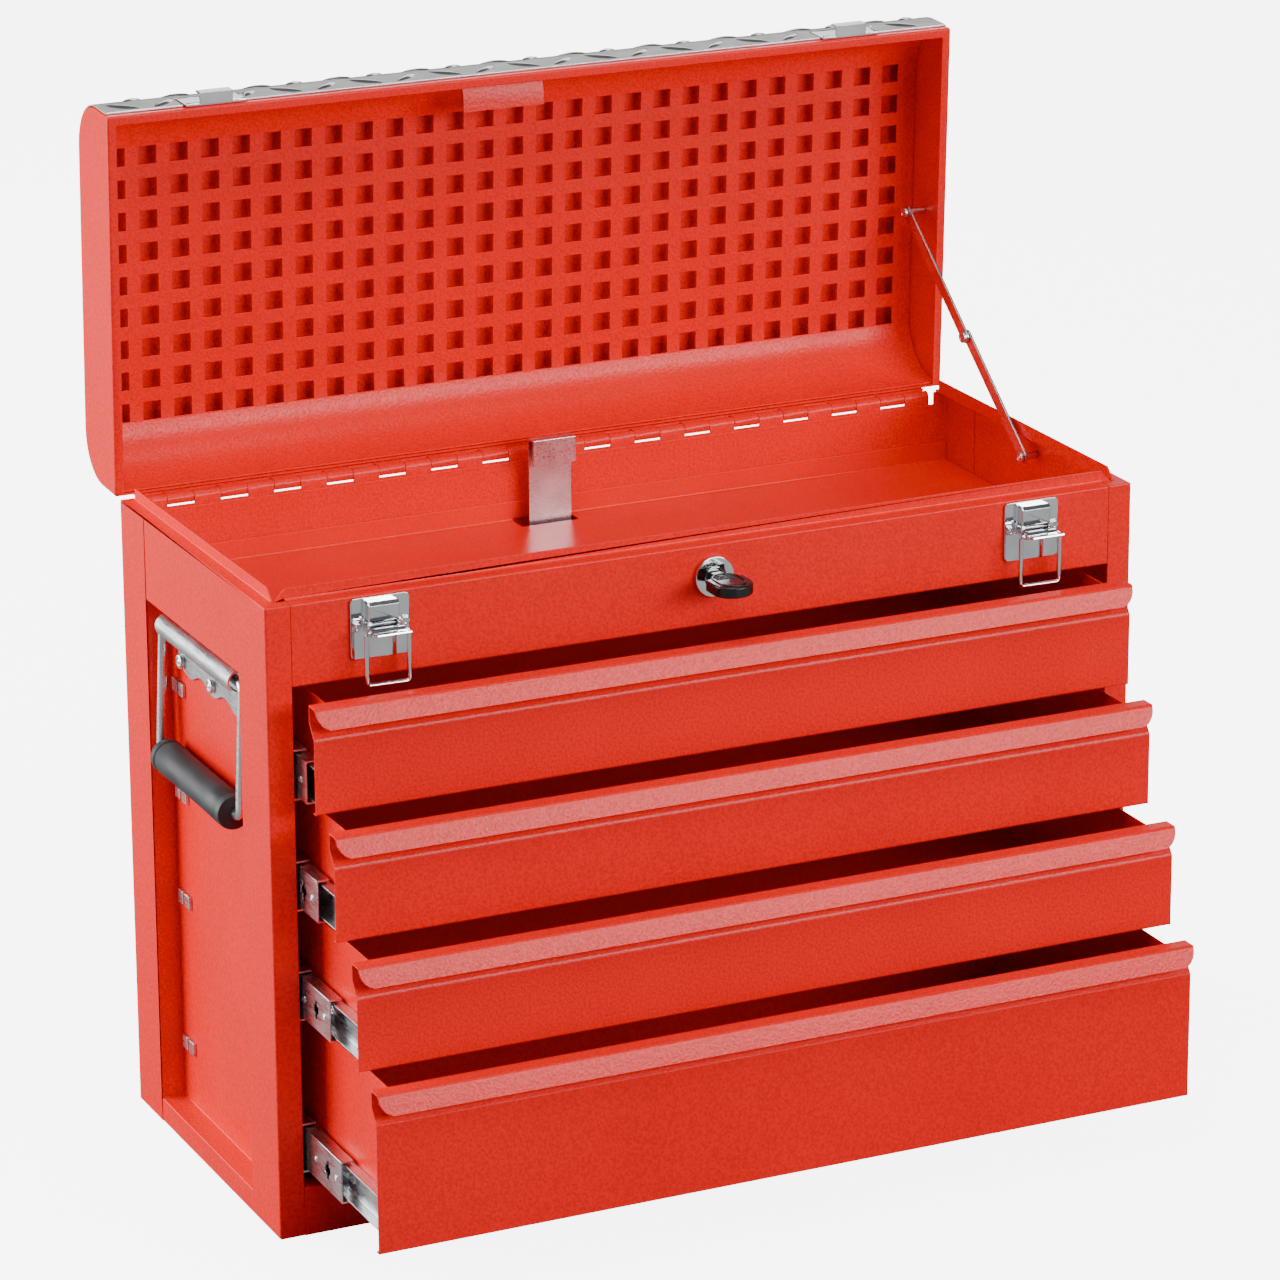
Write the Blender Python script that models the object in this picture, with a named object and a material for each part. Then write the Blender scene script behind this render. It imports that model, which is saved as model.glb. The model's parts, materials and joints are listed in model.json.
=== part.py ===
# Steel tool chest: four drawers on ball slides under a lift-lid tray compartment.
# Sizes are in millimetres; mesh_of() turns them into metres.
# Frame: origin at the centre of the base underside, +X right, +Y to the back, +Z up.
# Pieces are drawn in their closed place, and the pivots at the end set the open pose.
import math

import bmesh
import bpy
from mathutils import Matrix, Vector

MM = 0.001

# ---- casing
WIDTH = 585.0
DEPTH = 245.0
HEIGHT = 404.0  # top of the rim ledge
SHEET = 1.2
GAP = 0.3  # between pieces that touch
RECESS_DEPTH = 15.0
RECESS_FRONT = 46.0  # width of the strip in front of the side recess
BACK_WRAP = 41.0  # how far the back panel wraps round each side
RECESS_BOTTOM = 16.0
RECESS_DROP = 54.0  # top of the recess under the rim ledge
LEDGE = 9.0
LIP_HEIGHT = 7.5
LIP_END = 5.0  # side lip short of the back face, clear of the closed lid
RAIL_HEIGHT = 31.5
RAIL_FLANGE = 14.0
FASCIA_HEIGHT = 51.6
TRAY_UPSTAND = 14.0
TRAY_NOTCH = (40.0, 16.0)
BACK_DROP = 10.0  # top edge of the back panel under the rim ledge

# ---- drawers
LARGE_FRONT = 102.0
REVEAL = 3.6
DRAWER_SHEET = 1.0
FRONT_CLEARANCE = 1.0
DRAWER_BACK_CLEARANCE = 17.0
GRIP_RISE = 20.0  # from the bend of the front to the top of its handle edge
GRIP_SLANT = (7.0, 9.0)
GRIP_EDGE = 1.5  # top of the slanted flap in front of the face
GRIP_REACH = 6.0
GRIP_FLAP = 13.0
HEM = 4.0
DRAWERS_OUT = (31.0, 59.0, 90.0, 116.0)  # from the top drawer down
SLIDE_OVERLAP = 15.0  # of the slide length that stays in the casing

# ---- ball slides
SLIDE_THICK = 12.7
SLIDE_SETBACK = 0.5  # from the hem of a closed drawer
SLIDE_SHORT = 40.0  # slide length under the casing depth
SLIDE_RISE = 14.0  # slide centre above the lower edge of a small front
LARGE_SLIDE_RISE = 20.5
OUTER_HEIGHT = 32.0
MIDDLE_HEIGHT = 27.0
INNER_HEIGHT = 22.0
OUTER_DEPTH = SLIDE_THICK - 2.5  # each member follows the slide's thickness
MIDDLE_DEPTH = SLIDE_THICK - 4.5
INNER_DEPTH = SLIDE_THICK - 5.7
MIDDLE_STEP = 2.6  # web of the middle member inside that of the outer one
OUTER_SHEET = 1.2
MIDDLE_SHEET = 1.0
SLIDE_HOLE = (22.0, 6.0, 2.2)  # from the front end, half height and half width of the cross
LUG = (8.0, 9.0, 2.2)  # width, height and stand-out of one hook lug
LUG_PITCH = 11.0
LUG_FROM_BACK = 57.0

# ---- hinge and lid
HINGE_OUT = 4.0  # pin axis behind the back face
HINGE_DROP = 5.0  # pin axis under the rim ledge
KNUCKLE_SHEET = 1.1
PIN_CLEARANCE = 0.4
KNUCKLE_LENGTH = 18.0
HINGE_END = 10.0  # least distance from the hinge to a side face
LEAF_HEIGHT = 24.0
LID_OPEN = 88.0
LID_HEIGHT = 54.0
LID_RADIUS = 30.0
LID_FLANGE = 6.0
TAB_SIZE = (56.0, 24.0)
TAB_X = -23.0
TAB_DEPTH = 8.8
TAB_RISE = 5.0
PANEL_DEPTH = 45.0  # perforated face above the rim plane
PANEL_RADIUS = 37.0
PANEL_SHEET = 1.0
PANEL_FOOT = 3.2  # front edge of the perforated panel above the tab
HOLE = 11.8
HOLE_PITCH = 20.9
HOLE_EDGE = 8.0  # least strip beside the outer columns
TREAD_SHEET = 1.2
TREAD_START = 5.0

# ---- lid stay, with the lid closed
STAY_BODY = (130.5, -13.0)  # in front of the hinge pin, and up from the rim ledge
STAY_LID = (118.5, 28.0)
STAY_LOWER = 99.0
STAY_WIDTH = 9.0
STAY_SHEET = 1.5
STAY_INSET = 11.0  # strip plane inside the side panel's outer face

# ---- toggle latches
LATCH_INSET = 72.5  # latch centre from the side face
LATCH_PLATE = 38.0
LATCH_TOP = 1.5
LEVER_PIVOT = (5.5, 19.0)  # in front of the fascia, and under the rim ledge
LEVER_REACH = 8.0  # lever pivot to bail pivot
LEVER_LENGTH = 19.0
LEVER_OUT = 80.0
BAIL_LENGTH = 32.4
BAIL_HALF = 13.6
BAIL_WIRE = 1.5
LATCH_SHEET = 1.5
LATCH_BOX = (20.0, 6.5)  # width and stand-out of the raised box
LATCH_RIVET = (15.6, 3.1)  # from the centre, and radius
CURL_HALF = 11.0
BARREL_HALF = 8.1
STRIKE_WIDTH = 40.0
STRIKE_PLATE = 20.0
HOOK_RISE = 2.0
HOOK_REACH = 8.5
HOOK_TIP = 9.5
HOOK_HALF = 11.0

# ---- lock and locking bar
LOCK_DROP = 20.5
LOCK_BODY = 9.5
LOCK_BEZEL = 13.0
LOCK_PLUG = 6.5
KEY_HEAD = (26.0, 7.0, 27.0)
BAR_X = -4.0
BAR_WIDTH = 30.0
BAR_INSET = 11.5  # back face of the bar from the back face of the casing
BAR_TOP = 8.0
BAR_BOTTOM = 46.0
BAR_HOOK = (9.0, 17.0)

# ---- side handles
HANDLE_SHIFT = 1.1  # behind the middle of the recess
HANDLE_DROP = 66.0  # tube axis under the rim ledge
HANDLE_OUT = 8.0  # tube axis out of the recess floor
HANDLE_SIDE = 10.4  # from the wire to the end of the recess
HANDLE_FALL = 84.0
HANDLE_WIRE = 3.0
CURL_SHEET = 1.5
BRACKET_HEIGHT = 30.0
RIVET_RADIUS = 4.2
RIVET_INSET = 16.0  # outer rivets from the wire
GRIP_RADIUS = 11.0
GRIP_SHORT = 9.0  # grip end from the wire

# ---- worked out
HX = WIDTH / 2
HY = DEPTH / 2
INNER_X = HX - RECESS_DEPTH - SHEET  # inner face of the recess floor, and the edge of the drawer opening
SEAM_Y = HY - BACK_WRAP
RECESS_TOP = HEIGHT - RECESS_DROP
FASCIA_BOTTOM = HEIGHT - FASCIA_HEIGHT
TRAY_Z = FASCIA_BOTTOM + SHEET + GAP
SMALL_FRONT = (FASCIA_BOTTOM - RAIL_HEIGHT - LARGE_FRONT - 5 * REVEAL) / 3
PIN_Y = HY + HINGE_OUT
PIN_Z = HEIGHT - HINGE_DROP
KNUCKLE_RADIUS = HINGE_OUT - GAP
PIN_RADIUS = KNUCKLE_RADIUS - KNUCKLE_SHEET - PIN_CLEARANCE
RIM_Z = HEIGHT + GAP
PAN_X = INNER_X - GAP - SLIDE_THICK
KNUCKLES = int((WIDTH - 2 * HINGE_END) / KNUCKLE_LENGTH / 2 + 0.5) * 2 - 1
HINGE_HALF = KNUCKLES * KNUCKLE_LENGTH / 2
HOLE_COLUMNS = int((WIDTH - 2 * (SHEET + GAP + HOLE_EDGE) - HOLE) / HOLE_PITCH) + 1
HOLE_ROWS = int((DEPTH - 2 * PANEL_RADIUS + HOLE) / HOLE_PITCH) + 1
SLIDE_LENGTH = DEPTH - SLIDE_SHORT
DRAWER_TRAVEL = SLIDE_LENGTH - SLIDE_OVERLAP
LATCH_X = HX - LATCH_INSET
BAR_Y = HY - BAR_INSET
RECESS_Y = (-HY + RECESS_FRONT, SEAM_Y - SHEET)
HANDLE_Y = sum(RECESS_Y) / 2 + HANDLE_SHIFT
HANDLE_HALF = (RECESS_Y[1] - RECESS_Y[0]) / 2 - HANDLE_SIDE
HANDLE_Z = HEIGHT - HANDLE_DROP
HANDLE_X = HX - RECESS_DEPTH + HANDLE_OUT
CURL_RADIUS = HANDLE_OUT - GAP

PAINT_RED = (0.62, 0.012, 0.008)
FINISHES = {
    # name: colour, roughness, metallic
    "powder_coated_steel": (PAINT_RED, 0.38, 0.0),
    "zinc_plated_steel": ((0.62, 0.64, 0.66), 0.3, 1.0),
    "chromed_steel": ((0.8, 0.81, 0.83), 0.08, 1.0),
    "aluminium_tread_plate": ((0.7, 0.71, 0.72), 0.3, 1.0),
    "rubber": ((0.05, 0.052, 0.055), 0.6, 0.0),
    "black_plastic": ((0.012, 0.012, 0.013), 0.3, 0.0),
}


def clear_scene():
    for obj in list(bpy.data.objects):
        bpy.data.objects.remove(obj)


def finish_material(name):
    material = bpy.data.materials.get(name)
    if material is None:
        colour, roughness, metallic = FINISHES[name]
        material = bpy.data.materials.new(name)
        material.use_nodes = True
        shader = material.node_tree.nodes["Principled BSDF"]
        shader.inputs["Base Color"].default_value = (*colour, 1.0)
        shader.inputs["Roughness"].default_value = roughness
        shader.inputs["Metallic"].default_value = metallic
    return material


# ---- solids, in millimetres


def mesh_of(points, faces):
    """An object from points and faces, with its faces turned outwards."""
    mesh = bpy.data.meshes.new("solid")
    mesh.from_pydata([[value * MM for value in point] for point in points], [], faces)
    work = bmesh.new()
    work.from_mesh(mesh)
    bmesh.ops.recalc_face_normals(work, faces=work.faces)
    work.to_mesh(mesh)
    work.free()
    obj = bpy.data.objects.new("solid", mesh)
    bpy.context.scene.collection.objects.link(obj)
    return obj


def prism(outline, axis, start, end):
    """A straight extrusion. The outline is (y, z) along x, (x, z) along y or (x, y) along z."""
    place = {
        "x": lambda along, a, b: (along, a, b),
        "y": lambda along, a, b: (a, along, b),
        "z": lambda along, a, b: (a, b, along),
    }[axis]
    count = len(outline)
    points = [place(along, a, b) for along in (start, end) for a, b in outline]
    faces = [
        [i, (i + 1) % count, (i + 1) % count + count, i + count] for i in range(count)
    ]
    faces += [list(range(count)), list(range(count, 2 * count))]
    return mesh_of(points, faces)


def box(x, y, z):
    """A block from its (low, high) along each axis."""
    return prism([(x[0], y[0]), (x[1], y[0]), (x[1], y[1]), (x[0], y[1])], "z", *z)


def arc(centre, radius, start, end, steps):
    """Points along an arc, with angles in degrees from the first axis of the plane."""
    angles = [math.radians(start + (end - start) * i / steps) for i in range(steps + 1)]
    return [
        (centre[0] + radius * math.cos(a), centre[1] + radius * math.sin(a)) for a in angles
    ]


def disc(centre, axis, radius, start, end, sides=20):
    return prism(arc(centre, radius, 0, 360 - 360 / sides, sides - 1), axis, start, end)


def sheet(path, thick):
    """The outline of bent sheet: a path, and the same path set off to its right-hand side."""
    ways = []
    for (a0, b0), (a1, b1) in zip(path, path[1:]):
        length = math.hypot(a1 - a0, b1 - b0)
        ways.append(((a1 - a0) / length, (b1 - b0) / length))
    other = []
    for i, (a, b) in enumerate(path):
        before, after = ways[max(i - 1, 0)], ways[min(i, len(ways) - 1)]
        side = (before[1] + after[1], -before[0] - after[0])
        scale = thick / (1 + before[0] * after[0] + before[1] * after[1])
        other.append((a + side[0] * scale, b + side[1] * scale))
    return path + other[::-1]


def wire(route, radius, sides=8, closed=False):
    """A round wire along a route of points; every ring is turned square to the route."""
    route = [Vector(point) for point in route]
    count = len(route)
    rings = []
    side = None
    for i, point in enumerate(route):
        before = route[i - 1] if i or closed else point
        after = route[(i + 1) % count] if i < count - 1 or closed else point
        way = (after - before).normalized()
        if side is None:
            side = way.orthogonal().normalized()
        side = (side - way * side.dot(way)).normalized()
        other = way.cross(side)
        for k in range(sides):
            turn = 2 * math.pi * k / sides
            rings.append(point + radius * (side * math.cos(turn) + other * math.sin(turn)))
    faces = []
    for i in range(count if closed else count - 1):
        for k in range(sides):
            a, b = i * sides, (i + 1) % count * sides
            faces.append([a + k, a + (k + 1) % sides, b + (k + 1) % sides, b + k])
    if not closed:
        faces += [list(range(sides)), list(range((count - 1) * sides, count * sides))]
    return mesh_of(rings, faces)


def rounded_route(corners, radius, steps=4):
    """A route through corners, each rounded by a quadratic bend that starts one radius before it."""
    corners = [Vector(corner) for corner in corners]
    route = [corners[0]]
    for before, corner, after in zip(corners, corners[1:], corners[2:]):
        start = corner + (before - corner).normalized() * radius
        end = corner + (after - corner).normalized() * radius
        for i in range(steps + 1):
            t = i / steps
            route.append((1 - t) ** 2 * start + 2 * t * (1 - t) * corner + t * t * end)
    return route + [corners[-1]]


def group(pieces):
    """Separate solids in one object, to cut or to add together."""
    work = bmesh.new()
    for piece in pieces:
        work.from_mesh(piece.data)
        bpy.data.objects.remove(piece)
    mesh = bpy.data.meshes.new("group")
    work.to_mesh(mesh)
    work.free()
    obj = bpy.data.objects.new("group", mesh)
    bpy.context.scene.collection.objects.link(obj)
    return obj


def combine(target, tools, operation):
    """Applies one exact Boolean per tool, and removes the tools."""
    for tool in tools:
        cut = target.modifiers.new("combine", "BOOLEAN")
        cut.solver = "EXACT"
        cut.operation = operation
        cut.object = tool
        bpy.context.view_layer.update()
        graph = bpy.context.evaluated_depsgraph_get()
        mesh = bpy.data.meshes.new_from_object(target.evaluated_get(graph))
        target.modifiers.remove(cut)
        target.data = mesh
        bpy.data.objects.remove(tool)
    return target


def carve(target, *tools):
    return combine(target, tools, "DIFFERENCE")


def fuse(target, *tools):
    return combine(target, tools, "UNION")


def mirrored(obj):
    """Turns a right-hand solid into the left-hand one."""
    obj.data.transform(Matrix.Scale(-1, 4, (1, 0, 0)))
    obj.data.flip_normals()
    return obj


def node(obj, name, finish, pivot=None, smooth=False):
    """Names a solid, gives it its finish and hangs it on its pivot."""
    obj.name = name
    obj.data.name = name
    obj.data.materials.clear()
    obj.data.materials.append(finish_material(finish))
    if smooth:
        obj.data.shade_smooth()
        obj.data.set_sharp_from_angle(angle=math.radians(32))
    if pivot is not None:
        obj.data.transform(Matrix.Translation(-Vector(pivot["home"]) * MM))
        obj.parent = pivot
    return obj


def pivot_at(name, home, parent=None):
    """An empty on a joint axis, at its place while everything is closed."""
    pivot = bpy.data.objects.new(name, None)
    bpy.context.scene.collection.objects.link(pivot)
    pivot["home"] = home
    base = Vector(parent["home"]) if parent else Vector((0, 0, 0))
    pivot.location = (Vector(home) - base) * MM
    pivot.parent = parent
    return pivot


def side_name(side):
    return "left" if side < 0 else "right"


# ---- casing


def front_edges():
    """(bottom, top) of each drawer front, from the top drawer down."""
    edges = []
    bottom = RAIL_HEIGHT + REVEAL
    for height in (LARGE_FRONT, SMALL_FRONT, SMALL_FRONT, SMALL_FRONT):
        edges.insert(0, (bottom, bottom + height))
        bottom += height + REVEAL
    return edges


def slide_heights():
    """Centre height of each pair of slides, from the top drawer down."""
    rises = (SLIDE_RISE, SLIDE_RISE, SLIDE_RISE, LARGE_SLIDE_RISE)
    return [bottom + rise for (bottom, top), rise in zip(front_edges(), rises)]


def lug_places(height):
    """(y, z) of the two hook lugs of one slide, which pass through the recess floor."""
    middle = HY - LUG_FROM_BACK
    return [(middle - LUG_PITCH / 2, height), (middle + LUG_PITCH / 2, height)]


def side_panel(side):
    """One bent side: front post, recessed face, rim ledge and the lip that stands on it."""
    panel = box((INNER_X, HX), (-HY, SEAM_Y), (0, HEIGHT))
    hollow = box((INNER_X - 1, HX - SHEET), (-HY + SHEET, SEAM_Y + 1), (SHEET, HEIGHT - SHEET))
    around = box(
        (INNER_X - 2, HX + 1),
        (RECESS_Y[0] - SHEET, SEAM_Y + 2),
        (RECESS_BOTTOM - SHEET, RECESS_TOP + SHEET),
    )
    recess = box((HX - RECESS_DEPTH, HX + 1), RECESS_Y, (RECESS_BOTTOM, RECESS_TOP))
    carve(panel, carve(hollow, around), recess)
    ledge = box((HX - LEDGE - SHEET, HX), (SEAM_Y - 1, HY - GAP), (HEIGHT - SHEET, HEIGHT))
    fuse(panel, ledge)
    inside = box(
        (INNER_X - 1, HX - LEDGE), (-HY + LEDGE - GAP, HY + 1), (HEIGHT - 2 * SHEET, HEIGHT + 1)
    )
    carve(panel, inside)
    lip_start = -HY + LEDGE
    lip = prism(
        [
            (lip_start, HEIGHT - SHEET),
            (lip_start, HEIGHT),
            (lip_start + LIP_HEIGHT, HEIGHT + LIP_HEIGHT),
            (HY - LIP_END, HEIGHT + LIP_HEIGHT),
            (HY - LIP_END, HEIGHT - SHEET),
        ],
        "x",
        HX - LEDGE,
        HX - LEDGE + SHEET,
    )
    fuse(panel, lip)
    slots = [
        box(
            (INNER_X - 1, INNER_X + 2),
            (y - LUG[0] / 2 - GAP, y + LUG[0] / 2 + GAP),
            (z - LUG[1] / 2 - GAP, z + LUG[1] / 2 + GAP),
        )
        for height in slide_heights()
        for y, z in lug_places(height)
    ]
    carve(panel, group(slots))
    if side < 0:
        mirrored(panel)
    node(panel, side_name(side) + "_side_panel", "powder_coated_steel")


def back_panel():
    top = HEIGHT - SHEET - GAP
    panel = box((-HX, HX), (SEAM_Y + GAP, HY), (0, top))
    inside = box((-HX + SHEET, HX - SHEET), (SEAM_Y - 1, HY - SHEET), (-1, top + 1))
    lower_top = box(
        (-HX + LEDGE + SHEET + GAP, HX - LEDGE - SHEET - GAP),
        (HY - 2 * SHEET, HY + 1),
        (HEIGHT - BACK_DROP, top + 1),
    )
    carve(panel, inside, lower_top)
    node(panel, "back_panel", "powder_coated_steel")


def base_panel():
    """The floor of the casing, bent up in front into the bottom rail."""
    path = [
        (HY - SHEET - GAP, 0),
        (-HY, 0),
        (-HY, RAIL_HEIGHT),
        (-HY + RAIL_FLANGE, RAIL_HEIGHT),
    ]
    half = INNER_X - GAP
    node(prism(sheet(path, SHEET), "x", -half, half), "base_panel", "powder_coated_steel")


def front_fascia():
    path = [
        (-HY + RAIL_FLANGE, FASCIA_BOTTOM),
        (-HY, FASCIA_BOTTOM),
        (-HY, HEIGHT),
        (-HY + LEDGE + SHEET / 2, HEIGHT),
    ]
    half = INNER_X - GAP
    fascia = prism(sheet(path, SHEET), "x", -half, half)
    reach = HX - LEDGE - GAP
    lip = prism(
        [
            (-reach, HEIGHT),
            (-reach + LIP_HEIGHT, HEIGHT + LIP_HEIGHT),
            (reach - LIP_HEIGHT, HEIGHT + LIP_HEIGHT),
            (reach, HEIGHT),
            (reach, HEIGHT - SHEET),
            (-reach, HEIGHT - SHEET),
        ],
        "y",
        -HY + LEDGE,
        -HY + LEDGE + SHEET,
    )
    fuse(fascia, lip)
    carve(fascia, disc((0, HEIGHT - LOCK_DROP), "y", LOCK_BODY + GAP, -HY - 1, -HY + 3, 24))
    node(fascia, "front_fascia", "powder_coated_steel")


def tray_floor():
    """The floor of the top compartment, turned up at the back and notched for the locking bar."""
    back = HY - SHEET - GAP
    path = [
        (-HY + SHEET + GAP, TRAY_Z + SHEET),
        (back - SHEET, TRAY_Z + SHEET),
        (back - SHEET, TRAY_Z + TRAY_UPSTAND),
    ]
    half = HX - SHEET - GAP
    floor = prism(sheet(path, SHEET), "x", -half, half)
    width, depth = TRAY_NOTCH
    notch_x = BAR_X - 2
    notch = box(
        (notch_x - width / 2, notch_x + width / 2),
        (back - depth, HY),
        (TRAY_Z - 1, TRAY_Z + 2 * SHEET),
    )
    carve(floor, notch)
    node(floor, "tray_floor", "powder_coated_steel")


# ---- drawers and slides


def drawer(index, bottom, top, pivot):
    """A pan with a front that is bent into a full-width handle edge."""
    face = -HY
    bend = top - GRIP_RISE
    back, rise = GRIP_SLANT
    thick = DRAWER_SHEET
    path = [
        (face + HEM, bottom),
        (face, bottom),
        (face, bend),
        (face + back, bend + rise),
        (face + back, top - thick),
        (face - GRIP_EDGE, top - thick),
        (face - GRIP_REACH, top - GRIP_FLAP),
    ]
    half = INNER_X - FRONT_CLEARANCE
    front = prism(sheet(path, thick), "x", -half, half)
    corners = []
    for side in (-1, 1):
        radius = GRIP_FLAP - 2
        edge = side * half
        curve = arc((half - radius, top - 2), radius, 0, -90, 6)
        outline = [(side * a, b) for a, b in curve]
        outline += [
            (edge - side * radius, top - GRIP_FLAP - 3),
            (edge + side, top - GRIP_FLAP - 3),
            (edge + side, top - 2),
        ]
        corners.append(prism(outline, "y", face - 2 * GRIP_REACH, face - 1))
    carve(front, group(corners))
    rear = HY - DRAWER_BACK_CLEARANCE
    pan = prism(
        [
            (face + thick / 2, bottom + thick / 2),
            (face + thick / 2, bend),
            (face + back + thick / 2, bend + rise),
            (face + back + thick / 2, top - 2),
            (rear, top - 2),
            (rear, bottom + thick / 2),
        ],
        "x",
        -PAN_X,
        PAN_X,
    )
    inner = 1.6 * thick
    cavity = prism(
        [
            (face + inner, bottom + inner),
            (face + inner, bend - thick / 2),
            (face + back + inner, bend + rise - thick / 2),
            (face + back + inner, top + 5),
            (rear - thick, top + 5),
            (rear - thick, bottom + inner),
        ],
        "x",
        -PAN_X + thick,
        PAN_X - thick,
    )
    carve(pan, cavity)
    fuse(front, pan)
    node(front, f"drawer_{index}", "powder_coated_steel", pivot)


def channel(web_out, depth, height, thick, opens_out):
    """The (x, z) outline of a right-hand channel; web_out is the outer face of its web."""
    inner = web_out - thick if not opens_out else web_out + thick
    tip = web_out - depth if not opens_out else web_out + depth
    half = height / 2
    return [
        (web_out, -half),
        (tip, -half),
        (tip, -half + thick),
        (inner, -half + thick),
        (inner, half - thick),
        (tip, half - thick),
        (tip, half),
        (web_out, half),
    ]


def raised(outline, height):
    return [(a, b + height) for a, b in outline]


def slide(index, side, height, middle_pivot, drawer_pivot):
    """Outer, middle and inner member of one ball slide."""
    name = f"{side_name(side)}_{index}"
    start = -HY + HEM + SLIDE_SETBACK
    end = start + SLIDE_LENGTH
    wall = INNER_X - GAP
    profile = channel(wall, OUTER_DEPTH, OUTER_HEIGHT, OUTER_SHEET, False)
    outer = prism(raised(profile, height), "y", start, end)
    lugs = [
        box(
            (wall - OUTER_SHEET / 2, INNER_X + SHEET + LUG[2]),
            (y - LUG[0] / 2, y + LUG[0] / 2),
            (z - LUG[1] / 2, z + LUG[1] / 2),
        )
        for y, z in lug_places(height)
    ]
    fuse(outer, *lugs)
    web = wall - MIDDLE_STEP
    profile = channel(web, MIDDLE_DEPTH, MIDDLE_HEIGHT, MIDDLE_SHEET, False)
    middle = prism(raised(profile, height), "y", start, end)
    setback, tall, wide = SLIDE_HOLE
    hole_y = start + setback
    cross = fuse(
        box((web - 2, web + 1), (hole_y - wide, hole_y + wide), (height - tall, height + tall)),
        box(
            (web - 2.2, web + 1.2),
            (hole_y - 2 * wide, hole_y + 2 * wide),
            (height - wide - 0.1, height + wide + 0.1),
        ),
    )
    carve(middle, cross)
    profile = channel(PAN_X + GAP, INNER_DEPTH, INNER_HEIGHT, MIDDLE_SHEET, True)
    inner = prism(raised(profile, height), "y", start + 1, end)
    pieces = (
        (outer, "slide_outer_" + name, None),
        (middle, "slide_middle_" + name, middle_pivot),
        (inner, "slide_inner_" + name, drawer_pivot),
    )
    for piece, title, pivot in pieces:
        if side < 0:
            mirrored(piece)
        node(piece, title, "zinc_plated_steel", pivot)


# ---- lid and hinge


def lid_outline(inset):
    """The (y, z) outline of the closed lid, set in from its outer faces."""
    top = RIM_Z + LID_HEIGHT - inset
    radius = LID_RADIUS - inset
    front = -HY + inset
    back = HY - inset
    bottom = RIM_Z + inset
    return (
        [(front, bottom)]
        + arc((front + radius, top - radius), radius, 180, 90, 8)
        + arc((back - radius, top - radius), radius, 90, 0, 8)
        + [(back, bottom)]
    )


def lid_shell(pivot):
    shell = prism(lid_outline(0), "x", -HX, HX)
    carve(shell, prism(lid_outline(SHEET), "x", -HX + SHEET, HX - SHEET))
    mouth = box(
        (-HX + LID_FLANGE, HX - LID_FLANGE),
        (-HY + LID_FLANGE, HY - SHEET),
        (RIM_Z - 1, RIM_Z + 2 * SHEET),
    )
    carve(shell, mouth)
    width, depth = TAB_SIZE
    tab = prism(
        sheet(
            [
                (-HY + SHEET / 2, RIM_Z + TAB_DEPTH + TAB_RISE),
                (-HY + 0.6 * depth, RIM_Z + TAB_DEPTH + 0.2 * TAB_RISE),
                (-HY + depth, RIM_Z + TAB_DEPTH),
            ],
            -SHEET,
        ),
        "x",
        TAB_X - width / 2,
        TAB_X + width / 2,
    )
    fuse(shell, tab)
    node(shell, "lid_shell", "powder_coated_steel", pivot, True)


def perforated_panel(pivot):
    """The inner skin of the lid: a punched flat face between two round flanks."""
    top = RIM_Z + PANEL_DEPTH
    back = HY - SHEET - GAP
    front = -back
    foot = RIM_Z + TAB_DEPTH + TAB_RISE + PANEL_FOOT
    start = (front + PANEL_RADIUS, top - PANEL_RADIUS)
    path = (
        [p for p in arc(start, PANEL_RADIUS, 180, 90, 9) if p[1] > foot]
        + [p for p in arc((-start[0], start[1]), PANEL_RADIUS, 90, 0, 9)]
        + [(back, RIM_Z + SHEET + 1)]
    )
    half = HX - SHEET - GAP
    panel = prism(sheet(path, PANEL_SHEET), "x", -half, half)
    holes = []
    for row in range(HOLE_ROWS):
        y = (row - (HOLE_ROWS - 1) / 2) * HOLE_PITCH
        for column in range(HOLE_COLUMNS):
            x = (column - (HOLE_COLUMNS - 1) / 2) * HOLE_PITCH
            holes.append(
                box((x - HOLE / 2, x + HOLE / 2), (y - HOLE / 2, y + HOLE / 2), (top - 5, top + 2))
            )
    carve(panel, group(holes))
    node(panel, "perforated_panel", "powder_coated_steel", pivot)


def tread_plate(pivot):
    """The patterned cover that wraps the front, the round and the top of the lid."""
    skin = GAP
    radius = LID_RADIUS + skin
    centre = (-HY + LID_RADIUS, RIM_Z + LID_HEIGHT - LID_RADIUS)
    path = (
        [(-HY - skin, RIM_Z + TREAD_START)]
        + arc(centre, radius, 180, 90, 8)
        + [(HY - LID_RADIUS, centre[1] + radius)]
    )
    plate = prism(sheet(path, -TREAD_SHEET), "x", -HX + 1, HX - 1)
    notches = [
        box(
            (side * LATCH_X - STRIKE_WIDTH / 2 - 1, side * LATCH_X + STRIKE_WIDTH / 2 + 1),
            (-HY - 4, -HY + 1),
            (RIM_Z, RIM_Z + STRIKE_PLATE + 2),
        )
        for side in (-1, 1)
    ]
    carve(plate, group(notches))
    node(plate, "tread_plate", "aluminium_tread_plate", pivot, True)


def strike(side, pivot):
    """The hook on the lid that a latch bail pulls on."""
    face = -HY - GAP
    path = [
        (face, RIM_Z + STRIKE_PLATE),
        (face, RIM_Z + HOOK_RISE),
        (face - HOOK_REACH, RIM_Z + HOOK_RISE),
        (face - HOOK_REACH, RIM_Z + HOOK_TIP),
    ]
    centre = side * LATCH_X
    plate = prism(sheet(path, SHEET), "x", centre - STRIKE_WIDTH / 2, centre + STRIKE_WIDTH / 2)
    sides = [
        box(
            sorted((centre + end * HOOK_HALF, centre + end * STRIKE_WIDTH)),
            (face - 2 * HOOK_REACH, face - SHEET - 0.4),
            (RIM_Z, RIM_Z + HOOK_TIP + 1),
        )
        for end in (-1, 1)
    ]
    carve(plate, group(sides))
    node(plate, side_name(side) + "_strike", "chromed_steel", pivot)


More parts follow.
